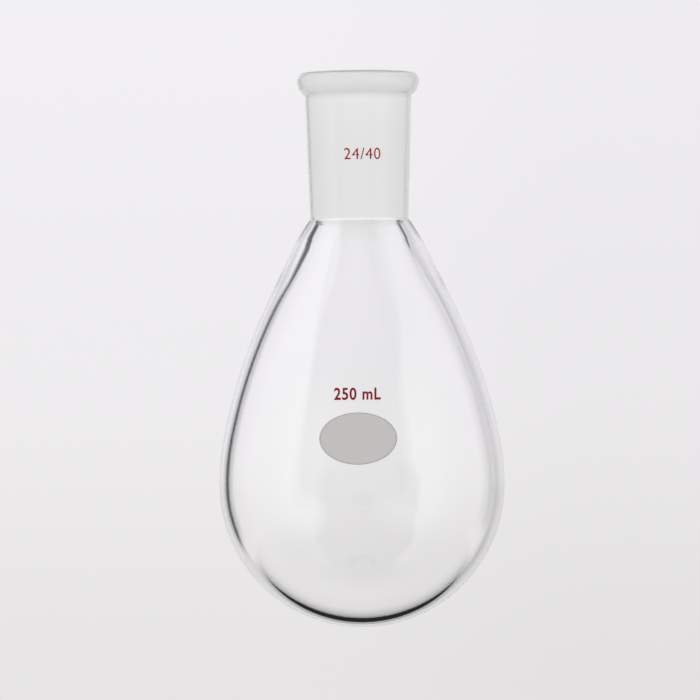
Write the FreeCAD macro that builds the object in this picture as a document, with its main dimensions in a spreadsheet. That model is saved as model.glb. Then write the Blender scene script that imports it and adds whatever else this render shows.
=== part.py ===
import FreeCAD
import Part

import math
import os

import Sketcher

# Recovery flask of blown borosilicate glass with a 24/40 ground socket, in millimetres.
# The origin is the centre of the mouth and +Z points out of it, along the axis of the joint.
# The flask hangs below the mouth, with its marking spot to the front, at -Y.

SIZES = {
    # ground socket: a 1:10 cone, 24 mm across at the mouth and 40 mm long
    "joint_bore": 24.0,
    "joint_length": 40.0,
    "joint_taper": 10.0,
    "mouth_round": 0.6,
    # bead rolled round the mouth: a tight crown, and a longer skirt that runs down to the neck
    "bead_width": 4.7,
    "bead_height": 6.5,
    "bead_crown": 2.25,
    "bead_skirt": 4.7,
    "bead_root_round": 0.8,
    # neck tube: its wall grows downwards, because the bore tapers faster than the outside
    "neck_wall_top": 2.9,
    "neck_wall_foot": 3.45,
    # seam where the neck tube is sealed to the blown body: the glass flares out from it
    "seam_drop": 5.6,
    "seam_step": 3.63,
    "seam_height": 5.8,
    "seam_round": 0.8,
    # pear-shaped body: a straight shoulder, a long arc, a belly arc and a round bottom
    "body_diameter": 77.6,
    "belly_radius": 67.0,
    "belly_rise": 13.0,
    "shoulder_angle": 26.0,
    "shoulder_length": 18.0,
    # cavity: an even wall below, and a wall that thickens up the shoulder to the throat
    "body_wall": 2.4,
    "throat_run": 1.3,
    "throat_flare": 4.0,
    "throat_round": 4.0,
    # marking spot: an ellipse of fired enamel
    "spot_width": 20.7,
    "spot_height": 13.8,
    "spot_rise": 13.1,
    "spot_thickness": 0.1,
}

START, END, CENTRE = range(1, 4)  # the points of a line or arc in a sketch
LEVEL_AXIS, PLUMB_AXIS = range(-1, -3, -1)
ORIGIN = (LEVEL_AXIS, START)

SOCKET_FOOT = "(sizes.joint_bore - sizes.joint_length / sizes.joint_taper) / 2"
THROAT_DEPTH = "(sizes.joint_length + sizes.throat_run)"


def profile(size):
    """The levels, turns and radii that follow from the sizes where the outline's arcs meet smoothly."""
    belly_turn = math.asin(size["belly_rise"] / size["belly_radius"])
    shoulder_turn = math.radians(size["shoulder_angle"])
    throat_turn = shoulder_turn + math.radians(size["throat_flare"])
    mouth = size["joint_bore"] / 2
    slope = 1 / (2 * size["joint_taper"])
    seam = mouth - slope * size["joint_length"] + size["neck_wall_foot"] + size["seam_step"]
    seam_depth = size["joint_length"] + size["seam_drop"]
    throat_depth = size["joint_length"] + size["throat_run"]
    throat = mouth - slope * throat_depth

    belly = size["body_diameter"] / 2
    belly_top = belly - size["belly_radius"] * (1 - math.cos(belly_turn))
    shoulder_reach = belly_top - seam - size["shoulder_length"] * math.sin(shoulder_turn)
    shoulder_radius = shoulder_reach / (math.cos(belly_turn) - math.cos(shoulder_turn))
    shoulder_rise = shoulder_radius * (math.sin(shoulder_turn) - math.sin(belly_turn))
    cone_rise = size["shoulder_length"] * math.cos(shoulder_turn)
    equator_depth = seam_depth + cone_rise + shoulder_rise + size["belly_rise"]

    inner_belly_radius = size["belly_radius"] - size["body_wall"]
    across = belly_top - size["body_wall"] * math.cos(belly_turn) - throat
    up = equator_depth - inner_belly_radius * math.sin(belly_turn) - throat_depth
    bend = up * math.sin(throat_turn) - across * math.cos(throat_turn)
    inner_shoulder_radius = bend / (1 - math.cos(throat_turn - belly_turn))
    return {
        "belly_turn": belly_turn,
        "shoulder_turn": shoulder_turn,
        "throat_turn": throat_turn,
        "belly": belly,
        "seam": (seam, -seam_depth),
        "throat": (throat, -throat_depth),
        "mouth": (mouth, 0.0),
        "slope": slope,
        "equator": -equator_depth,
        "shoulder_radius": shoulder_radius,
        "inner_belly_radius": inner_belly_radius,
        "inner_shoulder_radius": inner_shoulder_radius,
    }


def centre_along(centre, radius, next_radius, turn):
    """The centre of the arc that goes on smoothly from another at the given turn."""
    step = radius - next_radius
    return (centre[0] + step * math.cos(turn), centre[1] + step * math.sin(turn))


def point_on(centre, radius, turn):
    """The point of an arc at the given turn above the level direction."""
    return (centre[0] + radius * math.cos(turn), centre[1] + radius * math.sin(turn))


class Section:
    """A sketch of half a section through the flask: radii to the right, levels upwards."""

    def __init__(self, body, name):
        plane = next(f for f in body.Origin.OriginFeatures if f.Role == "XZ_Plane")
        self.sketch = body.newObject("Sketcher::SketchObject", name)
        self.sketch.AttachmentSupport = (plane, [""])
        self.sketch.MapMode = "FlatFace"

    def line(self, start, end, construction=False):
        segment = Part.LineSegment(FreeCAD.Vector(*start), FreeCAD.Vector(*end))
        return self.sketch.addGeometry(segment, construction)

    def arc(self, centre, radius, first, last):
        circle = Part.Circle(FreeCAD.Vector(*centre), FreeCAD.Vector(0, 0, 1), radius)
        return self.sketch.addGeometry(Part.ArcOfCircle(circle, first, last), False)

    def point(self, place):
        return self.sketch.addGeometry(Part.Point(FreeCAD.Vector(*place)), True)

    def tie(self, kind, *ends):
        return self.sketch.addConstraint(Sketcher.Constraint(kind, *ends))

    def measure(self, kind, ends):
        shape = self.sketch.Geometry[ends[0]]
        if kind == "Radius":
            return shape.Radius
        if kind == "Distance":
            return shape.length()
        if kind == "Angle":
            run = shape.EndPoint - shape.StartPoint
            return math.atan2(run.y, run.x)
        run = self.sketch.getPoint(*ends[2:]) - self.sketch.getPoint(*ends[:2])
        return run.x if kind == "DistanceX" else run.y

    def size(self, name, kind, expression, *ends):
        """A named dimension that follows the sheet."""
        index = self.tie(kind, *ends, self.measure(kind, ends))
        self.sketch.renameConstraint(index, name)
        self.sketch.setExpression(f"Constraints.{name}", expression)

    def result(self, name, kind, *ends):
        """A named dimension that only reports what the others lead to."""
        index = self.tie(kind, *ends, self.measure(kind, ends))
        self.sketch.renameConstraint(index, name)
        self.sketch.setDriving(index, False)


def make_sheet(doc):
    sheet = doc.addObject("Spreadsheet::Sheet", "sizes")
    for row, (name, value) in enumerate(SIZES.items(), start=1):
        sheet.set(f"A{row}", name)
        sheet.set(f"B{row}", str(value))
        sheet.setAlias(f"B{row}", name)
    doc.recompute()
    return sheet


def draw_outside(section, form, size):
    """The outer outline, from the bottom on the axis up to the bead and the mouth."""
    centre = (0.0, form["equator"])
    foot = section.arc(centre, form["belly"], -math.pi / 2, 0)
    belly_centre = centre_along(centre, form["belly"], size["belly_radius"], 0)
    belly = section.arc(belly_centre, size["belly_radius"], 0, form["belly_turn"])
    shoulder_centre = centre_along(
        belly_centre, size["belly_radius"], form["shoulder_radius"], form["belly_turn"]
    )
    shoulder = section.arc(
        shoulder_centre, form["shoulder_radius"], form["belly_turn"], form["shoulder_turn"]
    )
    cone_start = point_on(shoulder_centre, form["shoulder_radius"], form["shoulder_turn"])
    cone = section.line(cone_start, form["seam"])

    neck_foot = (form["seam"][0] - size["seam_step"], form["seam"][1] + size["seam_height"])
    seam = section.line(form["seam"], neck_foot)
    reach = form["mouth"][0] + size["bead_width"]
    crown_centre = (reach - size["bead_crown"], -size["bead_crown"])
    skirt_centre = (reach - size["bead_skirt"], -size["bead_crown"])
    gauge = (
        form["mouth"][0] - form["slope"] * size["bead_height"] + size["neck_wall_top"],
        -size["bead_height"],
    )
    root_turn = -math.acos((gauge[0] - skirt_centre[0]) / size["bead_skirt"])
    neck = section.line(neck_foot, point_on(skirt_centre, size["bead_skirt"], root_turn))
    skirt = section.arc(skirt_centre, size["bead_skirt"], root_turn, 0)
    crown = section.arc(crown_centre, size["bead_crown"], 0, math.pi / 2)
    land = section.line((crown_centre[0], 0.0), form["mouth"])
    neck_gauge = section.point(gauge)

    section.tie("PointOnObject", foot, START, PLUMB_AXIS)
    section.tie("PointOnObject", foot, CENTRE, PLUMB_AXIS)
    section.tie("Tangent", foot, END, belly, START)
    section.tie("Horizontal", foot, CENTRE, belly, CENTRE)
    section.tie("Tangent", belly, END, shoulder, START)
    section.tie("Tangent", shoulder, END, cone, START)
    section.tie("Coincident", cone, END, seam, START)
    section.tie("Coincident", seam, END, neck, START)
    section.tie("PointOnObject", neck_gauge, START, neck)
    section.tie("Coincident", neck, END, skirt, START)
    section.tie("Tangent", skirt, END, crown, START)
    section.tie("Horizontal", skirt, CENTRE, crown, CENTRE)
    section.tie("Tangent", crown, END, land, START)
    section.tie("Horizontal", land)
    section.tie("PointOnObject", land, START, LEVEL_AXIS)

    section.size("body", "Radius", "sizes.body_diameter / 2", foot)
    section.size("belly", "Radius", "sizes.belly_radius", belly)
    section.size("belly_rise", "DistanceY", "sizes.belly_rise", belly, START, belly, END)
    section.size("shoulder_angle", "Angle", "90 + sizes.shoulder_angle", cone)
    section.size("shoulder_length", "Distance", "sizes.shoulder_length", cone)
    seam_depth = "sizes.joint_length + sizes.seam_drop"
    section.size("seam_depth", "DistanceY", seam_depth, cone, END, *ORIGIN)
    section.size("seam_step", "DistanceX", "sizes.seam_step", seam, END, seam, START)
    section.size("seam_height", "DistanceY", "sizes.seam_height", seam, START, seam, END)
    neck_foot_radius = f"{SOCKET_FOOT} + sizes.neck_wall_foot"
    section.size("neck_foot", "DistanceX", neck_foot_radius, *ORIGIN, neck, START)
    gauge_bore = "(sizes.joint_bore - sizes.bead_height / sizes.joint_taper) / 2"
    gauge_radius = f"{gauge_bore} + sizes.neck_wall_top"
    section.size("neck_top", "DistanceX", gauge_radius, *ORIGIN, neck_gauge, START)
    section.size("neck_top_depth", "DistanceY", "sizes.bead_height", neck_gauge, START, *ORIGIN)
    section.size("bead_crown", "Radius", "sizes.bead_crown", crown)
    section.size("bead_skirt", "Radius", "sizes.bead_skirt", skirt)
    bead_reach = "sizes.joint_bore / 2 + sizes.bead_width"
    section.size("bead_reach", "DistanceX", bead_reach, *ORIGIN, crown, START)
    section.size("mouth", "DistanceX", "sizes.joint_bore / 2", *ORIGIN, land, END)

    section.result("equator_depth", "DistanceY", foot, CENTRE, *ORIGIN)
    section.result("shoulder_radius", "Radius", shoulder)
    section.result("shoulder_rise", "DistanceY", belly, START, shoulder, END)
    return {"foot": foot, "belly": belly, "seam": seam, "neck": neck, "land": land}


def draw_inside(section, form, size, outside):
    """The inner outline: the ground cone, the throat, the shoulder and the even wall below."""
    centre = (0.0, form["equator"])
    belly_centre = centre_along(centre, form["belly"], size["belly_radius"], 0)
    radius = form["inner_belly_radius"]
    shoulder_radius = form["inner_shoulder_radius"]
    shoulder_centre = centre_along(belly_centre, radius, shoulder_radius, form["belly_turn"])
    foot = section.arc(centre, form["belly"] - size["body_wall"], -math.pi / 2, 0)
    belly = section.arc(belly_centre, radius, 0, form["belly_turn"])
    shoulder = section.arc(
        shoulder_centre, shoulder_radius, form["belly_turn"], form["throat_turn"]
    )
    cone_start = point_on(shoulder_centre, shoulder_radius, form["throat_turn"])
    throat = section.line(cone_start, form["throat"])
    socket = section.line(form["throat"], form["mouth"])
    belly_end = point_on(belly_centre, size["belly_radius"], form["belly_turn"])
    spoke = section.line(belly_centre, belly_end, construction=True)
    bottom = centre[1] - form["belly"]
    axis = section.line((0.0, bottom), (0.0, bottom + size["body_wall"]))

    section.tie("Coincident", axis, START, outside["foot"], START)
    section.tie("Coincident", axis, END, foot, START)
    section.tie("PointOnObject", foot, START, PLUMB_AXIS)
    section.tie("Coincident", foot, CENTRE, outside["foot"], CENTRE)
    section.tie("Coincident", belly, CENTRE, outside["belly"], CENTRE)
    section.tie("Tangent", foot, END, belly, START)
    section.tie("Coincident", spoke, START, outside["belly"], CENTRE)
    section.tie("Coincident", spoke, END, outside["belly"], END)
    section.tie("PointOnObject", belly, END, spoke)
    section.tie("Tangent", belly, END, shoulder, START)
    section.tie("Tangent", shoulder, END, throat, START)
    section.tie("Coincident", throat, END, socket, START)
    section.tie("Coincident", socket, END, outside["land"], END)

    section.size(
        "body_wall", "DistanceX", "sizes.body_wall", belly, START, outside["belly"], START
    )
    throat_angle = "90 + sizes.shoulder_angle + sizes.throat_flare"
    section.size("throat_angle", "Angle", throat_angle, throat)
    section.size("throat_depth", "DistanceY", THROAT_DEPTH, socket, START, *ORIGIN)
    throat_radius = f"(sizes.joint_bore - {THROAT_DEPTH} / sizes.joint_taper) / 2"
    section.size("throat", "DistanceX", throat_radius, *ORIGIN, socket, START)
    return {"socket": socket}


def ring_at(shape, place):
    """The name of the circular edge nearest to a radius and level."""
    radius, level = place.x, place.y
    gaps = {}
    for number, edge in enumerate(shape.Edges, start=1):
        if not edge.Degenerated and isinstance(edge.Curve, Part.Circle) and edge.isClosed():
            rise = edge.Curve.Center.z - level
            gaps[f"Edge{number}"] = math.hypot(edge.Curve.Radius - radius, rise)
    return min(gaps, key=gaps.get)


def make_flask(doc, form):
    """The flask: one piece of glass, its wall's section turned about the axis."""
    body = doc.addObject("PartDesign::Body", "flask")
    body.Label = "flask"
    section = Section(body, "wall_section")
    outside = draw_outside(section, form, SIZES)
    inside = draw_inside(section, form, SIZES, outside)
    doc.recompute()

    wall = body.newObject("PartDesign::Revolution", "blown_wall")
    wall.Profile = section.sketch
    wall.ReferenceAxis = (section.sketch, ["V_Axis"])
    wall.Angle = 360
    doc.recompute()

    rounds = {
        "mouth_round": (inside["socket"], END),
        "throat_round": (inside["socket"], START),
        "bead_root_round": (outside["neck"], END),
        "seam_round": (outside["seam"], END),
    }
    tip = wall
    for name, end in rounds.items():
        edge = ring_at(tip.Shape, section.sketch.getPoint(*end))
        fillet = body.newObject("PartDesign::Fillet", name)
        fillet.Base = (tip, [edge])
        fillet.setExpression("Radius", f"sizes.{name}")
        doc.recompute()
        tip = fillet
    return body


def make_enamel_shell(doc, form):
    """A thin shell on the glass from the equator to the top of the long shoulder arc."""
    body = doc.addObject("PartDesign::Body", "enamel_shell")
    section = Section(body, "enamel_section")
    thickness = SIZES["spot_thickness"]
    centre = (0.0, form["equator"])
    belly_radius = SIZES["belly_radius"]
    belly_centre = centre_along(centre, form["belly"], belly_radius, 0)
    shoulder_radius = form["shoulder_radius"]
    shoulder_centre = centre_along(
        belly_centre, belly_radius, shoulder_radius, form["belly_turn"]
    )
    layers = []
    for offset in (0.0, thickness):
        belly = section.arc(belly_centre, belly_radius + offset, 0, form["belly_turn"])
        shoulder = section.arc(
            shoulder_centre, shoulder_radius + offset, form["belly_turn"], form["shoulder_turn"]
        )
        section.tie("Tangent", belly, END, shoulder, START)
        layers.append((belly, shoulder))
    (belly, shoulder), (outer_belly, outer_shoulder) = layers
    low = section.line(
        point_on(belly_centre, belly_radius, 0), point_on(belly_centre, belly_radius + thickness, 0)
    )
    high = section.line(
        point_on(shoulder_centre, shoulder_radius, form["shoulder_turn"]),
        point_on(shoulder_centre, shoulder_radius + thickness, form["shoulder_turn"]),
    )
    section.tie("Coincident", low, START, belly, START)
    section.tie("Coincident", low, END, outer_belly, START)
    section.tie("Coincident", high, END, outer_shoulder, END)
    section.tie("Coincident", outer_belly, CENTRE, belly, CENTRE)
    section.tie("Coincident", outer_shoulder, CENTRE, shoulder, CENTRE)
    section.tie("Horizontal", belly, CENTRE, belly, START)
    section.tie("Horizontal", low)
    section.tie("Perpendicular", high, START, shoulder, END)

    section.size("belly_start", "DistanceX", "sizes.body_diameter / 2", *ORIGIN, belly, START)
    equator = "wall_section.Constraints.equator_depth"
    section.size("equator_depth", "DistanceY", equator, belly, START, *ORIGIN)
    section.size("belly", "Radius", "sizes.belly_radius", belly)
    section.size("belly_rise", "DistanceY", "sizes.belly_rise", belly, START, belly, END)
    section.size("shoulder", "Radius", "wall_section.Constraints.shoulder_radius", shoulder)
    shoulder_top = "wall_section.Constraints.shoulder_rise"
    section.size("shoulder_rise", "DistanceY", shoulder_top, belly, START, shoulder, END)
    section.size("thickness", "DistanceX", "sizes.spot_thickness", low, START, low, END)
    doc.recompute()

    shell = body.newObject("PartDesign::Revolution", "enamel_turned")
    shell.Profile = section.sketch
    shell.ReferenceAxis = (section.sketch, ["V_Axis"])
    shell.Angle = 360
    doc.recompute()
    return body


def make_marking_spot(doc, form):
    """The marking spot: the part of an enamel shell that an ellipse seen from the front cuts out."""
    ellipse = doc.addObject("Part::Ellipse", "spot_outline")
    ellipse.setExpression("MajorRadius", "sizes.spot_width / 2")
    ellipse.setExpression("MinorRadius", "sizes.spot_height / 2")
    ellipse.Placement = FreeCAD.Placement(
        FreeCAD.Vector(0, 0, 0), FreeCAD.Rotation(FreeCAD.Vector(1, 0, 0), 90)
    )
    level = "sizes.spot_rise * 1 mm - wall_section.Constraints.equator_depth"
    ellipse.setExpression("Placement.Base.z", level)
    column = doc.addObject("Part::Extrusion", "spot_column")
    column.Base = ellipse
    column.DirMode = "Custom"
    column.Dir = FreeCAD.Vector(0, -1, 0)
    column.Solid = True
    column.setExpression("LengthFwd", "sizes.body_diameter")
    spot = doc.addObject("Part::Common", "marking_spot")
    spot.Label = "marking_spot"
    spot.Base = make_enamel_shell(doc, form)
    spot.Tool = column
    doc.recompute()
    return spot


def check(doc, pieces):
    for item in doc.Objects:
        if "Invalid" in item.State or "Error" in item.State:
            raise ValueError(f"{item.Name} has failed: {item.State}")
    for piece in pieces:
        if piece.Shape.isNull() or not piece.Shape.isValid() or len(piece.Shape.Solids) != 1:
            raise ValueError(f"{piece.Label} isn't one good solid")


def main():
    doc = FreeCAD.newDocument("recovery_flask")
    make_sheet(doc)
    form = profile(SIZES)
    pieces = [make_flask(doc, form), make_marking_spot(doc, form)]
    check(doc, pieces)
    os.makedirs("parts", exist_ok=True)
    for piece in pieces:
        piece.Shape.exportStep(f"parts/{piece.Label}.step")
        box = piece.Shape.optimalBoundingBox(False)
        print(f"{piece.Label}: {piece.Shape.Volume:.1f} mm3, z {box.ZMin:.2f} to {box.ZMax:.2f}")


main()
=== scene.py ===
import math

import bpy
import numpy as np
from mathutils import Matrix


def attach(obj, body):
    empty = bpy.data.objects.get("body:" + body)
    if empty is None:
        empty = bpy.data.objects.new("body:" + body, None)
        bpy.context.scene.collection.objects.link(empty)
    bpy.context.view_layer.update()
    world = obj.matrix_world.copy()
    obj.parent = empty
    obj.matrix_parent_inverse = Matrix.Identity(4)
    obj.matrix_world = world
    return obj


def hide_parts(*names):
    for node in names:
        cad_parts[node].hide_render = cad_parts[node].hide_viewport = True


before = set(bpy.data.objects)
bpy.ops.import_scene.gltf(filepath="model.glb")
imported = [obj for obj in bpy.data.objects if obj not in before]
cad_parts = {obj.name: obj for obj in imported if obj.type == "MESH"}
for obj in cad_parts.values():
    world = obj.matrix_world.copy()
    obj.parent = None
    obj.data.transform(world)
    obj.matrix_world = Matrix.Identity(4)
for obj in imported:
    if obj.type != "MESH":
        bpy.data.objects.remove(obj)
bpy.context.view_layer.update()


# The flask is one piece of blown borosilicate glass: a ground conical socket in a straight neck,
# a bead rolled round the mouth, a seam where the neck is sealed on, and a pear-shaped body.
# It is turned on a glass lathe, so its wall is one outline carried round the axis. Sizes in mm.

JOINT_BORE = 24.0
JOINT_LENGTH = 40.0
JOINT_TAPER = 10.0
BEAD_WIDTH = 4.7
BEAD_HEIGHT = 6.5
CROWN_RADIUS = 2.25
SKIRT_RADIUS = 4.7
NECK_WALL_TOP = 2.9
NECK_WALL_FOOT = 3.45
SEAM_DROP = 5.6
SEAM_STEP = 3.63
SEAM_HEIGHT = 5.8
SEAM_RADIUS = 0.8
BODY_DIAMETER = 77.6
BELLY_RADIUS = 67.0
BELLY_RISE = 13.0
SHOULDER_ANGLE = 26.0
SHOULDER_LENGTH = 18.0
BODY_WALL = 2.4
THROAT_RUN = 1.3
THROAT_FLARE = 4.0
THROAT_RADIUS = 4.0
FIRE_POLISH = 0.35
STATIONS_PER_MM = 0.5
STATIONS_PER_RADIAN = 10.5
SEGMENTS = 256
MM = 0.001


def arc(centre, radius, first, last, count=200):
    """Points of an arc: the centre plus the radius along each angle from first to last."""
    angle = np.linspace(first, last, count)
    return np.add(centre, radius * np.stack([np.cos(angle), np.sin(angle)], axis=1))


def rounded(before, tip, after, radius, count=40):
    """A corner turned into an arc that touches both sides: the touching points lie the radius over
    the tangent of half the corner's angle from its tip, and the centre on its bisector."""
    to_before = np.subtract(before, tip) / np.linalg.norm(np.subtract(before, tip))
    to_after = np.subtract(after, tip) / np.linalg.norm(np.subtract(after, tip))
    half = np.arccos(np.dot(to_before, to_after)) / 2
    bisector = (to_before + to_after) / np.linalg.norm(to_before + to_after)
    centre = tip + bisector * radius / np.sin(half)
    share = np.linspace(0, 1, count)[:, None]
    chord = tip + (to_before * (1 - share) + to_after * share) * radius / np.tan(half)
    spoke = chord - centre
    return centre + spoke * radius / np.linalg.norm(spoke, axis=1, keepdims=True)


def along(points, stations):
    """Points of a polyline at the given distances from its start, and its whole length."""
    steps = np.linalg.norm(np.diff(points, axis=0), axis=1)
    run = np.concatenate([[0.0], np.cumsum(steps)])
    return np.stack([np.interp(stations, run, points[:, k]) for k in range(2)], axis=1), run[-1]


def fire_polished(points, reach, step=0.05):
    """The outline with its corners melted: each point is the mean of the outline within the reach,
    and the two ends stay where they are."""
    length = along(points, [0.0])[1]
    even = along(points, np.arange(0.0, length, step))[0]
    pad = int(reach / step)
    kernel = np.ones(2 * pad + 1) / (2 * pad + 1)
    melted = even.copy()
    for k in range(2):
        melted[pad:-pad, k] = np.convolve(even[:, k], kernel, mode="valid")
    melted[-1] = points[-1]
    return melted


def stations_by_turn(points, per_mm, per_radian):
    """The outline thinned to stations that crowd where it turns: they are even in the sum of the
    distance times one rate and the angle turned times another."""
    steps = np.diff(points, axis=0)
    angle = np.unwrap(np.arctan2(steps[:, 1], steps[:, 0]))
    turn = np.abs(np.diff(angle, append=angle[-1]))
    weight = np.linalg.norm(steps, axis=1) * per_mm + turn * per_radian
    run = np.concatenate([[0.0], np.cumsum(weight)])
    even = np.linspace(0, run[-1], int(run[-1]) + 1)
    return np.stack([np.interp(even, run, points[:, k]) for k in range(2)], axis=1)


# the socket, the seam and the bead, whose crown and skirt are two arcs one above the other
belly_turn = math.asin(BELLY_RISE / BELLY_RADIUS)
shoulder_turn = math.radians(SHOULDER_ANGLE)
throat_turn = shoulder_turn + math.radians(THROAT_FLARE)
slope = 1 / (2 * JOINT_TAPER)
mouth = np.array([JOINT_BORE / 2, 0.0])
throat = np.array([mouth[0] - slope * (JOINT_LENGTH + THROAT_RUN), -JOINT_LENGTH - THROAT_RUN])
neck_foot = np.array(
    [mouth[0] - slope * JOINT_LENGTH + NECK_WALL_FOOT, SEAM_HEIGHT - JOINT_LENGTH - SEAM_DROP]
)
seam = neck_foot + (SEAM_STEP, -SEAM_HEIGHT)
crown_centre = mouth + (BEAD_WIDTH - CROWN_RADIUS, -CROWN_RADIUS)
skirt_centre = mouth + (BEAD_WIDTH - SKIRT_RADIUS, -CROWN_RADIUS)
neck_top = mouth[0] - slope * BEAD_HEIGHT + NECK_WALL_TOP
root_turn = -math.acos((neck_top - skirt_centre[0]) / SKIRT_RADIUS)
neck_root = skirt_centre + SKIRT_RADIUS * np.array([math.cos(root_turn), math.sin(root_turn)])

# the outer arcs touch each other, and the long shoulder arc takes what is left between them
belly_top = BODY_DIAMETER / 2 - BELLY_RADIUS * (1 - math.cos(belly_turn))
cone_top = seam + (
    SHOULDER_LENGTH * math.sin(shoulder_turn), -SHOULDER_LENGTH * math.cos(shoulder_turn)
)
shoulder_radius = (belly_top - cone_top[0]) / (math.cos(belly_turn) - math.cos(shoulder_turn))
shoulder_rise = shoulder_radius * (math.sin(shoulder_turn) - math.sin(belly_turn))
equator = cone_top[1] - shoulder_rise - BELLY_RISE
belly_centre = np.array([BODY_DIAMETER / 2 - BELLY_RADIUS, equator])
belly_spoke = np.array([math.cos(belly_turn), math.sin(belly_turn)])
shoulder_centre = belly_centre + (BELLY_RADIUS - shoulder_radius) * belly_spoke

# the inner arcs keep the wall even below and leave it to thicken towards the throat
inner_belly = BELLY_RADIUS - BODY_WALL
inner_top = belly_centre + inner_belly * belly_spoke
gap = inner_top - throat
bend = -gap[1] * math.sin(throat_turn) - gap[0] * math.cos(throat_turn)
inner_shoulder = bend / (1 - math.cos(throat_turn - belly_turn))
inner_centre = belly_centre + (inner_belly - inner_shoulder) * belly_spoke
throat_spoke = np.array([math.cos(throat_turn), math.sin(throat_turn)])
throat_cone = inner_centre + inner_shoulder * throat_spoke

outline = np.concatenate([
    arc((0, equator), BODY_DIAMETER / 2, -math.pi / 2, 0),
    arc(belly_centre, BELLY_RADIUS, 0, belly_turn),
    arc(shoulder_centre, shoulder_radius, belly_turn, shoulder_turn),
    [seam],
    rounded(seam, neck_foot, neck_root, SEAM_RADIUS),
    arc(skirt_centre, SKIRT_RADIUS, root_turn, 0),
    arc(crown_centre, CROWN_RADIUS, 0, math.pi / 2),
    [mouth],
    rounded(mouth, throat, throat_cone, THROAT_RADIUS),
    arc(inner_centre, inner_shoulder, throat_turn, belly_turn),
    arc(belly_centre, inner_belly, belly_turn, 0),
    arc((0, equator), BODY_DIAMETER / 2 - BODY_WALL, 0, -math.pi / 2),
])
polished = fire_polished(outline, FIRE_POLISH)
wall = stations_by_turn(polished, STATIONS_PER_MM, STATIONS_PER_RADIAN)


def mesh_from(name, points, faces):
    """A smooth mesh from an array of points in mm and an array of faces."""
    mesh = bpy.data.meshes.new(name)
    mesh.from_pydata(points * MM, [], faces)
    mesh.shade_smooth()
    return mesh


def turned(outline, segments):
    """A solid of revolution: each point of the outline but its two ends becomes a ring of its
    radius at its level, and the ends close on the axis with a fan of triangles."""
    angle = np.linspace(0, 2 * np.pi, segments, endpoint=False)
    radius, level = outline[1:-1].T
    rings = np.stack([
        np.outer(radius, np.sin(angle)),
        np.outer(radius, -np.cos(angle)),
        np.outer(level, np.ones(segments)),
    ], axis=2).reshape(-1, 3)
    poles = np.array([[0, 0, outline[0, 1]], [0, 0, outline[-1, 1]]])
    here = np.arange(len(rings)).reshape(len(radius), segments)
    right = np.roll(here, -1, axis=1)
    walls = np.stack([here[:-1], right[:-1], right[1:], here[1:]], axis=2).reshape(-1, 4)
    start, end = len(rings), len(rings) + 1
    first = np.stack([np.full(segments, start), right[0], here[0]], axis=1)
    last = np.stack([np.full(segments, end), here[-1], right[-1]], axis=1)
    return np.concatenate([rings, poles]), walls.tolist() + first.tolist() + last.tolist()


class Wire:
    """A socket of a shader tree. Arithmetic on it adds the Math nodes that work it out."""

    def __init__(self, tree, socket=None):
        self.tree = tree
        self.socket = socket

    def node(self, kind, settings=None, sockets=None):
        """Any node: its settings are set first, then the values or links of its sockets."""
        made = self.tree.nodes.new(kind)
        for name, value in (settings or {}).items():
            setattr(made, name, value)
        for name, value in (sockets or {}).items():
            if isinstance(value, Wire):
                self.tree.links.new(value.socket, made.inputs[name])
            else:
                made.inputs[name].default_value = value
        return Wire(self.tree, made.outputs[0] if made.outputs else None)

    def pick(self, output):
        """Another output of the same node."""
        return Wire(self.tree, self.socket.node.outputs[output])

    def math(self, operation, *values):
        """A Math node on the values, which are sockets or numbers."""
        return self.node("ShaderNodeMath", {"operation": operation}, dict(enumerate(values)))

    def scaled(self, factor):
        """A colour times a factor."""
        sockets = {"Vector": self, "Scale": factor}
        return self.node("ShaderNodeVectorMath", {"operation": "SCALE"}, sockets)

    def smooth(self, low, high):
        """0 below low, 1 above high, and an S curve between; the other way round if low is more."""
        sockets = {"Value": self, "From Min": low, "From Max": high}
        return self.node("ShaderNodeMapRange", {"interpolation_type": "SMOOTHSTEP"}, sockets)

    def mix(self, first, second):
        """A colour from the first to the second as this socket goes from 0 to 1."""
        made = self.node("ShaderNodeMix", {"data_type": "RGBA"}, {0: self, 6: first, 7: second})
        return made.pick(2)

    def __add__(self, other):
        return self.math("ADD", self, other)

    def __sub__(self, other):
        return self.math("SUBTRACT", self, other)

    def __rsub__(self, other):
        return self.math("SUBTRACT", other, self)

    def __mul__(self, other):
        return self.math("MULTIPLY", self, other)

    def __truediv__(self, other):
        return self.math("DIVIDE", self, other)

    __radd__ = __add__
    __rmul__ = __mul__


def new_material(name):
    """A material with an empty tree, and the Wire from which its nodes are made."""
    material = bpy.data.materials.new(name)
    material.use_nodes = True
    material.node_tree.nodes.clear()
    return material, Wire(material.node_tree)


def place(name, mesh, material, node=None):
    """Put a finished piece at the origin, in its material and riding on the frame, in the place of
    the CAD node if one is named."""
    piece = bpy.data.objects.new(name, mesh)
    bpy.context.scene.collection.objects.link(piece)
    mesh.materials.append(material)
    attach(piece, "root")
    if node:
        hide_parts(node)


GLASS_IOR = 1.473
GLASS_CLEAR = (1.0, 1.0, 1.0, 1.0)
GROUND_TOP = -0.4
GROUND_END = -40.6
GROUND_FADE = 0.3
BORE_REACH = 12.5
WALL_REACH = 12.7
GROUND_ROUGHNESS = 0.6
GRIT_SCALE = 900.0
GRIT_SPREAD = 0.1
GROUND_MILK = 0.85
NECK_MILK = 0.7
BEAD_MILK = 0.52
UNDER_BEAD = -8.0
ON_BEAD = -5.5
MILK_WHITE = (0.95, 0.95, 0.945, 1.0)
POLISHED_ROUGHNESS = 0.08
MILK_ROUGHNESS = 0.78

glass, start = new_material("borosilicate_glass")
local = start.node("ShaderNodeTexCoord").pick("Object")
axes = start.node("ShaderNodeSeparateXYZ", {}, {"Vector": local})
across, depth, level = axes.pick("X"), axes.pick("Y"), axes.pick("Z")
radius = start.math("SQRT", across * across + depth * depth)

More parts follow.
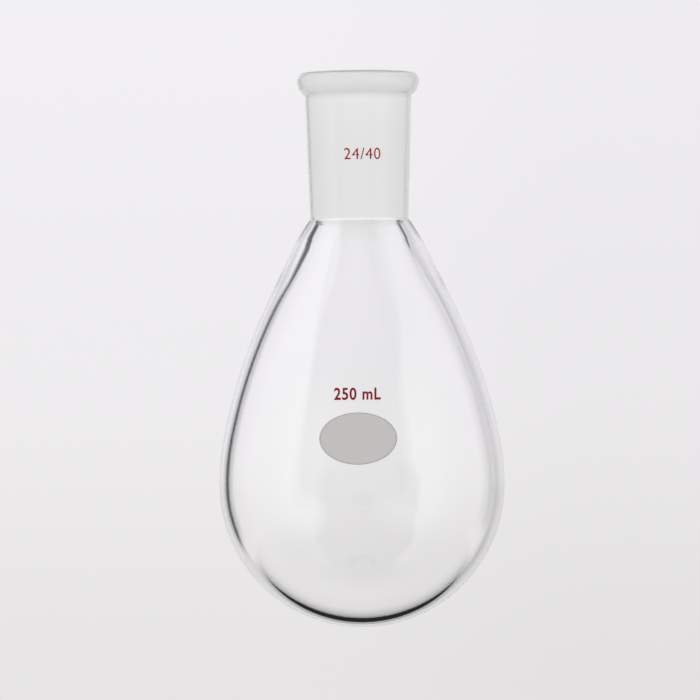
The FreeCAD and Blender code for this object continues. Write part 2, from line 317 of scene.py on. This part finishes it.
# the ground zone runs from the mouth to the end of the socket, and bore_side is 1 on its inner face
zone = level.smooth(GROUND_END * MM, (GROUND_END + GROUND_FADE) * MM)
zone = zone * level.smooth(GROUND_TOP * MM, (GROUND_TOP - GROUND_FADE) * MM)
bore_side = radius.smooth(WALL_REACH * MM, BORE_REACH * MM)
grit = start.node("ShaderNodeTexNoise", {}, {"Vector": local, "Scale": GRIT_SCALE, "Detail": 3.0})
frost = zone * bore_side * (GROUND_ROUGHNESS + (grit - 0.5) * GRIT_SPREAD)

# the light that the ground face scatters into the wall makes the outside look milky too, less so
# on the bead than on the neck
bead = level.smooth(UNDER_BEAD * MM, ON_BEAD * MM)
outer_milk = NECK_MILK - (NECK_MILK - BEAD_MILK) * bead
milk = zone * (outer_milk + bore_side * (GROUND_MILK - outer_milk))
clear = start.node("ShaderNodeBsdfPrincipled", {}, {
    "Base Color": GLASS_CLEAR,
    "Roughness": frost,
    "IOR": GLASS_IOR,
    "Transmission Weight": 1.0,
})
milky = start.node("ShaderNodeBsdfPrincipled", {}, {
    "Base Color": MILK_WHITE,
    "Roughness": POLISHED_ROUGHNESS + bore_side * (MILK_ROUGHNESS - POLISHED_ROUGHNESS),
    "IOR": GLASS_IOR,
})
ground_glass = start.node("ShaderNodeMixShader", {}, {0: milk, 1: clear, 2: milky})
start.node("ShaderNodeOutputMaterial", {}, {"Surface": ground_glass})

place(
    "glass_flask", mesh_from("glass_flask", *turned(wall, SEGMENTS)), glass,
    "flask",
)


# The marking spot is an oval of white enamel fired onto the front of the belly, matte enough to
# be written on with a pencil. It is a thin skin on the glass, with a slightly thinner rim.

SPOT_WIDTH = 20.7
SPOT_HEIGHT = 13.8
SPOT_RISE = 13.1
SPOT_THICKNESS = 0.1
SPOT_SINK = 0.01
RIM_POWER = 16
RIM_START = 0.93
ENAMEL = (0.495, 0.49, 0.482, 1.0)
ENAMEL_RIM = (0.45, 0.445, 0.437, 1.0)
# painted light: the face that lies on the glass is painted whiter than the enamel
ENAMEL_BACK_PAINTED_LIGHT = (0.95, 0.945, 0.935, 1.0)
ENAMEL_ROUGHNESS = 0.6
ROUGHNESS_SPREAD = 0.1
BACK_PAINTED_LIGHT_RANGE = (-0.1, 0.1)
GRAIN_SCALE = 1500.0
GRAIN_DEPTH = 0.02
GRAIN_STRENGTH = 0.15


def outside_radius(level):
    """The radius of the glass at each level, read off the outer half of the wall's outline."""
    outer = wall[:int(np.argmax(wall[:, 1]))]
    return np.interp(level, outer[:, 1], outer[:, 0])


def skin(across, level, proud):
    """A point on the glass seen from the front at the given places, raised by proud."""
    reach = outside_radius(level) + proud
    return np.stack([across, -np.sqrt(reach ** 2 - across ** 2), level], axis=-1)


def oval_skin(rings=30, segments=160):
    """A thin oval skin on the glass: ring shares of the oval, front and back, meeting at the rim,
    where the thickness falls off as the root of 1 less a high power of the share."""
    share = np.linspace(0, 1, rings + 1)[1:, None]
    angle = np.linspace(0, 2 * np.pi, segments, endpoint=False)[None, :]
    across = share * SPOT_WIDTH / 2 * np.cos(angle)
    middle = equator + SPOT_RISE
    level = middle + share * SPOT_HEIGHT / 2 * np.sin(angle)
    proud = SPOT_THICKNESS * np.sqrt(1 - share ** RIM_POWER) * np.ones_like(angle)
    front = skin(across, level, proud)
    back = skin(across[:-1], level[:-1], np.full_like(proud[:-1], -SPOT_SINK))
    tips = skin(np.zeros(2), np.full(2, middle), np.array([SPOT_THICKNESS, -SPOT_SINK]))
    points = np.concatenate([front.reshape(-1, 3), back[::-1].reshape(-1, 3), tips])
    here = np.arange((2 * rings - 1) * segments).reshape(2 * rings - 1, segments)
    right = np.roll(here, -1, axis=1)
    walls = np.stack([here[:-1], here[1:], right[1:], right[:-1]], axis=2).reshape(-1, 4)
    front_tip, back_tip = len(points) - 2, len(points) - 1
    first = np.stack([np.full(segments, front_tip), here[0], right[0]], axis=1)
    last = np.stack([np.full(segments, back_tip), right[-1], here[-1]], axis=1)
    return points, walls.tolist() + first.tolist() + last.tolist()


enamel, start = new_material("marking_enamel")
local = start.node("ShaderNodeTexCoord").pick("Object")
axes = start.node("ShaderNodeSeparateXYZ", {}, {"Vector": local})
out_x = axes.pick("X") / (SPOT_WIDTH / 2 * MM)
out_z = (axes.pick("Z") - (equator + SPOT_RISE) * MM) / (SPOT_HEIGHT / 2 * MM)
share = start.math("SQRT", out_x * out_x + out_z * out_z)
colour = share.smooth(RIM_START, 1.0).mix(ENAMEL, ENAMEL_RIM)

# the face that lies on the glass is painted whiter: painted light, which makes up for the little
# light that reaches it through the wall
normal = start.node("ShaderNodeTexCoord").pick("Normal")
towards_glass_painted_light = start.node("ShaderNodeSeparateXYZ", {}, {"Vector": normal}).pick("Y")
colour = towards_glass_painted_light.smooth(*BACK_PAINTED_LIGHT_RANGE).mix(colour, ENAMEL_BACK_PAINTED_LIGHT)

grain = start.node("ShaderNodeTexNoise", {}, {"Vector": local, "Scale": GRAIN_SCALE, "Detail": 4.0})
relief = start.node("ShaderNodeBump", {}, {
    "Strength": GRAIN_STRENGTH,
    "Distance": GRAIN_DEPTH * MM,
    "Height": grain,
})
enamel_shader = start.node("ShaderNodeBsdfPrincipled", {}, {
    "Base Color": colour,
    "Roughness": ENAMEL_ROUGHNESS + (grain - 0.5) * ROUGHNESS_SPREAD,
    "Normal": relief,
})
start.node("ShaderNodeOutputMaterial", {}, {"Surface": enamel_shader})

place(
    "enamel_spot", mesh_from("enamel_spot", *oval_skin()), enamel,
    "marking_spot",
)


# The red figures are screen-printed in enamel and fired on: the size of the joint on the neck and
# the capacity on the belly. They are thin, narrow and slightly raised, and follow the glass round.

PRINT_THICKNESS = 0.03
JOINT_FIGURES = {
    "text": "24/40", "centre": (1.35, -22.55), "width": 10.0, "height": 3.1, "boldness": 0.0,
}
CAPACITY_FIGURES = {
    "text": "250 mL", "centre": (-0.15, -87.15), "width": 12.5, "height": 3.3, "boldness": 0.024,
}
LETTER_SPACING = 1.1
NECK_RED = (0.28, 0.0, 0.001, 1.0)
BELLY_RED = (0.21, 0.0, 0.001, 1.0)
BELLY_LEVEL = -70.0
NECK_LEVEL = -40.0
PRINT_ROUGHNESS = 0.35
BLOTCH_ROUGHNESS = 0.15
BLOTCH_SCALE = 1200.0
PRINT_SPECULAR = 0.2


def figures(name, text, centre, width, height, boldness, extrude=0.5):
    """A line of figures, drawn flat, stretched to its width and height, and laid on the glass:
    its run becomes the way round from the front, and its depth stands on the surface."""
    curve = bpy.data.curves.new(name, "FONT")
    curve.body = text
    curve.extrude = extrude
    curve.offset = boldness
    curve.space_character = LETTER_SPACING
    flat = bpy.data.objects.new(name, curve)
    mesh = bpy.data.meshes.new_from_object(flat)
    points = np.empty(len(mesh.vertices) * 3, dtype=np.float32)
    mesh.vertices.foreach_get("co", points)
    points = points.reshape(-1, 3).astype(float)
    low, high = points.min(axis=0), points.max(axis=0)
    share = (points - low) / (high - low)
    level = centre[1] + (share[:, 1] - 0.5) * height
    glass_radius = outside_radius(level)
    around = (centre[0] + (share[:, 0] - 0.5) * width) / glass_radius
    reach = glass_radius - SPOT_SINK + share[:, 2] * (PRINT_THICKNESS + SPOT_SINK)
    laid = np.stack([reach * np.sin(around), -reach * np.cos(around), level], axis=1)
    mesh.vertices.foreach_set("co", (laid * MM).astype(np.float32).ravel())
    mesh.update()
    bpy.data.objects.remove(flat)
    bpy.data.curves.remove(curve)
    return mesh


red, start = new_material("red_print_enamel")
local = start.node("ShaderNodeTexCoord").pick("Object")
level = start.node("ShaderNodeSeparateXYZ", {}, {"Vector": local}).pick("Z")
on_neck = level.smooth(BELLY_LEVEL * MM, NECK_LEVEL * MM)
blotch = start.node(
    "ShaderNodeTexNoise", {}, {"Vector": local, "Scale": BLOTCH_SCALE, "Detail": 3.0}
)
red_shader = start.node("ShaderNodeBsdfPrincipled", {}, {
    "Base Color": on_neck.mix(BELLY_RED, NECK_RED),
    "Roughness": PRINT_ROUGHNESS + blotch * BLOTCH_ROUGHNESS,
    "Specular IOR Level": PRINT_SPECULAR,
})
start.node("ShaderNodeOutputMaterial", {}, {"Surface": red_shader})

for name, line in {"joint_figures": JOINT_FIGURES, "capacity_figures": CAPACITY_FIGURES}.items():
    place(name, figures(name, **line), red)


# The camera stands 1.5 m before the flask, level with its middle and a little to the right of its
# front. It has a long lens, which fills the picture with the flask as the photograph does.

CAMERA_DISTANCE = 1500.0
CAMERA_TURN = 1.5
CAMERA_ROLL = 0.57
CAMERA_LEVEL = -75.5
CAMERA_SIDESTEP = -2.9
CAMERA_LENS = 283.5
CAMERA_SENSOR = 36.0

view = bpy.data.cameras.new("camera")
view.lens = CAMERA_LENS
view.sensor_width = CAMERA_SENSOR
camera = bpy.data.objects.new("camera", view)
turn = math.radians(CAMERA_TURN)
camera.location = (
    (CAMERA_DISTANCE * math.sin(turn) + CAMERA_SIDESTEP * math.cos(turn)) * MM,
    (CAMERA_SIDESTEP * math.sin(turn) - CAMERA_DISTANCE * math.cos(turn)) * MM,
    CAMERA_LEVEL * MM,
)
camera.rotation_euler = (math.pi / 2, math.radians(CAMERA_ROLL), turn)
bpy.context.scene.collection.objects.link(camera)
bpy.context.scene.camera = camera


# The floor is a pale round one, far below the hanging flask. It is matt, and fades out towards its
# edge into the backdrop. It shows neither in the glass nor through it.

FLOOR_LEVEL = -380.0
FLOOR_RADIUS = 2600.0
FLOOR_FADE = 1500.0
FLOOR_SIDES = 96
FLOOR_PAINT = (0.92, 0.91, 0.915, 1.0)

angle = np.linspace(0, 2 * np.pi, FLOOR_SIDES, endpoint=False)
edge = np.stack([np.cos(angle), np.sin(angle), np.zeros(FLOOR_SIDES)], axis=1) * FLOOR_RADIUS
floor_mesh = mesh_from("floor", edge + (0, 0, FLOOR_LEVEL), [list(range(FLOOR_SIDES))])
paint, start = new_material("pale_floor")
local = start.node("ShaderNodeTexCoord").pick("Object")
axes = start.node("ShaderNodeSeparateXYZ", {}, {"Vector": local})
across, depth = axes.pick("X"), axes.pick("Y")
from_centre = start.math("SQRT", across * across + depth * depth)
fade = from_centre.smooth(FLOOR_FADE * MM, FLOOR_RADIUS * MM)
matt = start.node("ShaderNodeBsdfDiffuse", {}, {"Color": FLOOR_PAINT})
see_through = start.node("ShaderNodeBsdfTransparent")
faded = start.node("ShaderNodeMixShader", {}, {0: fade, 1: matt, 2: see_through})
start.node("ShaderNodeOutputMaterial", {}, {"Surface": faded})
floor = bpy.data.objects.new("floor", floor_mesh)
floor_mesh.materials.append(paint)
bpy.context.scene.collection.objects.link(floor)
floor.visible_glossy = False
floor.visible_transmission = False


# The studio is a pale backdrop all round, and two tall softboxes at the sides, which make the
# upright reflections on the glass. It is all in the world, and gives all the light. Each range is
# where something begins and where it is full, on a direction's parts across, ahead or up.

BACKDROP_TOP = (0.855, 0.839, 0.863, 1.0)
BACKDROP_MIDDLE = (0.83, 0.815, 0.83, 1.0)
BACKDROP_FOOT = (0.768, 0.753, 0.761, 1.0)
BACKDROP_SPAN = 0.063
BACKDROP_LEFT = 1.035
LEFT_RANGE = (0.02, -0.04)

world = bpy.data.worlds.new("studio")
bpy.context.scene.world = world
world.use_nodes = True
world.node_tree.nodes.clear()
start = Wire(world.node_tree)
direction = start.node("ShaderNodeTexCoord").pick("Generated")
axes = start.node("ShaderNodeSeparateXYZ", {}, {"Vector": direction})
across, ahead, up = axes.pick("X"), axes.pick("Y"), axes.pick("Z")
path = start.node("ShaderNodeLightPath")
backdrop = up.smooth(-BACKDROP_SPAN, 0.0).mix(BACKDROP_FOOT, BACKDROP_MIDDLE)
backdrop = up.smooth(0.0, BACKDROP_SPAN).mix(backdrop, BACKDROP_TOP)
brighter = across.smooth(*LEFT_RANGE) * (BACKDROP_LEFT - 1) + 1
backdrop = backdrop.scaled(brighter)

# The glass reflects a room that grows brighter upwards, with the softboxes in it. Each grows from
# the flask's side to a sharp edge near the camera, and the right one reaches further round. Their
# angles are from straight behind the flask, in radians.
ROOM_LOW = (0.2, 0.2, 0.203, 1.0)
ROOM_HIGH = (0.66, 0.655, 0.66, 1.0)
ROOM_RISE = (-0.95, 0.7)
ROOM_BACKDROP = (-0.3, 0.4)
SOFTBOX_SHINE = 0.94
SOFTBOX_FOOT = (-0.75, -0.3)
SOFTBOX_TOP = (0.97, 0.86)
SOFTBOX_START = math.radians(55)
SOFTBOX_FULL = math.radians(120)
SOFTBOX_EDGE = math.radians(129)
EDGE_BLUR = 0.03
RIGHT_RANGE = (-0.05, 0.05)
RIGHT_DIMMER = 0.2
RIGHT_FULL = 0.28
RIGHT_REACH = 0.2
RIGHT_BLUR = 0.06
LOW_RANGE = (0.0, -0.3)
LOW_REACH = 0.3
HIGH_RANGE = (0.5, 0.75)
HIGH_CUT = 0.17

azimuth = start.math("ARCTAN2", across, ahead)
aside = start.math("ABSOLUTE", azimuth)
on_right = across.smooth(*RIGHT_RANGE)
high, low = up.smooth(*HIGH_RANGE), up.smooth(*LOW_RANGE)
near_edge = SOFTBOX_EDGE + on_right * RIGHT_REACH + low * LOW_REACH
near_edge = near_edge - high * (HIGH_CUT + on_right * RIGHT_REACH)
within = (near_edge - aside) / (EDGE_BLUR + RIGHT_BLUR * on_right + low * LOW_REACH)
softboxes = aside.smooth(SOFTBOX_START, SOFTBOX_FULL + RIGHT_FULL * on_right)
softboxes = softboxes * within.smooth(-1.0, 1.0)
softboxes = softboxes * up.smooth(*SOFTBOX_FOOT) * up.smooth(*SOFTBOX_TOP)
softboxes = softboxes * (1 - RIGHT_DIMMER * on_right) * SOFTBOX_SHINE
room = up.smooth(*ROOM_RISE).mix(ROOM_LOW, ROOM_HIGH)
room = ahead.smooth(*ROOM_BACKDROP).mix(room, backdrop)
room = start.node("ShaderNodeVectorMath", {"operation": "ADD"}, {0: room, 1: softboxes})

# Black flags stand at the edges of the backdrop, the same in each quarter round, and low behind
# the flask. They make the dark lines at its edges, where the glass reflects a ray just once. Low
# behind it, a second and third reflection within the wall meets black too.
FLAG_BLACK = (0.02, 0.02, 0.02, 1.0)
QUARTER = (math.radians(43), math.radians(-47))
LEFT_FLAG_EDGE = math.radians(-26.5)
LEFT_FLAG_LEAN = 0.04
LEFT_FLAG_BLUR = math.radians(8)
LEFT_FLAG_SPREAD = 0.1
LEFT_FLAG_FOOT = (-0.34, -0.22)
RIGHT_FLAG = (math.radians(15), math.radians(35))
RIGHT_FLAG_SHARE = 0.3
LOW_FLAG_TOP = (-0.41, -0.46)
LOW_FLAG_BACK = (0.0, 0.5)
BEHIND_RANGE = (0.5, 0.7)
BESIDE_SHARE = 0.6
AGAIN_TOP = (-0.1, -0.3)

offset = start.math("WRAP", azimuth, *QUARTER)
raised = start.math("MAXIMUM", up, 0.0)
left_flag = LEFT_FLAG_EDGE - LEFT_FLAG_LEAN * raised - offset
left_flag = left_flag / (LEFT_FLAG_BLUR + LEFT_FLAG_SPREAD * raised)
left_flag = left_flag.smooth(0.0, 1.0) * up.smooth(*LEFT_FLAG_FOOT)
right_flag = offset.smooth(*RIGHT_FLAG) * RIGHT_FLAG_SHARE
low_flag = up.smooth(*LOW_FLAG_TOP) * ahead.smooth(*LOW_FLAG_BACK)
flags = start.math("MAXIMUM", start.math("MAXIMUM", left_flag, right_flag), low_flag)

# once is 1 after one reflection, two passes through a face at most and no matt bounce, and again
# is 1 after two or three reflections
once = start.math("COMPARE", path.pick("Glossy Depth"), 1.0, 0.5)
once = once * start.math("LESS_THAN", path.pick("Transmission Depth"), 2.5)
once = once * start.math("LESS_THAN", path.pick("Diffuse Depth"), 0.5)
within_wall = start.math("GREATER_THAN", path.pick("Transmission Depth"), 0.5)
behind = ahead.smooth(*BEHIND_RANGE)
strength = once * (behind + (1 - behind) * within_wall * BESIDE_SHARE)
again = start.math("COMPARE", path.pick("Glossy Depth"), 2.5, 0.6) * within_wall
again = again * up.smooth(*AGAIN_TOP) * behind
black = start.math("MAXIMUM", strength * flags, again)
turned_aside = black.mix(room, FLAG_BLACK)

# The soft light on matt surfaces comes more from before and behind the flask than from its sides,
# and less from above. The camera and the glass see the backdrop or what is reflected instead.
SOFT_SIDE = (0.56, 0.555, 0.56, 1.0)
SOFT_FRONT = (1.88, 1.865, 1.875, 1.0)
SOFT_FADE = 0.4

soft_light = start.math("ABSOLUTE", ahead).mix(SOFT_SIDE, SOFT_FRONT)
soft_light = soft_light.scaled(1 - raised * SOFT_FADE)
seen = start.math("MAXIMUM", path.pick("Is Camera Ray"), path.pick("Is Transmission Ray"))
seen = start.math("MAXIMUM", seen, path.pick("Is Glossy Ray"))
reflected = start.math("MINIMUM", path.pick("Glossy Depth"), 1.0)
light = seen.mix(soft_light, reflected.mix(backdrop, turned_aside))
sky = start.node("ShaderNodeBackground", {}, {"Color": light, "Strength": 1.0})
start.node("ShaderNodeOutputWorld", {}, {"Surface": sky})

bpy.context.scene.view_settings.view_transform = "Standard"
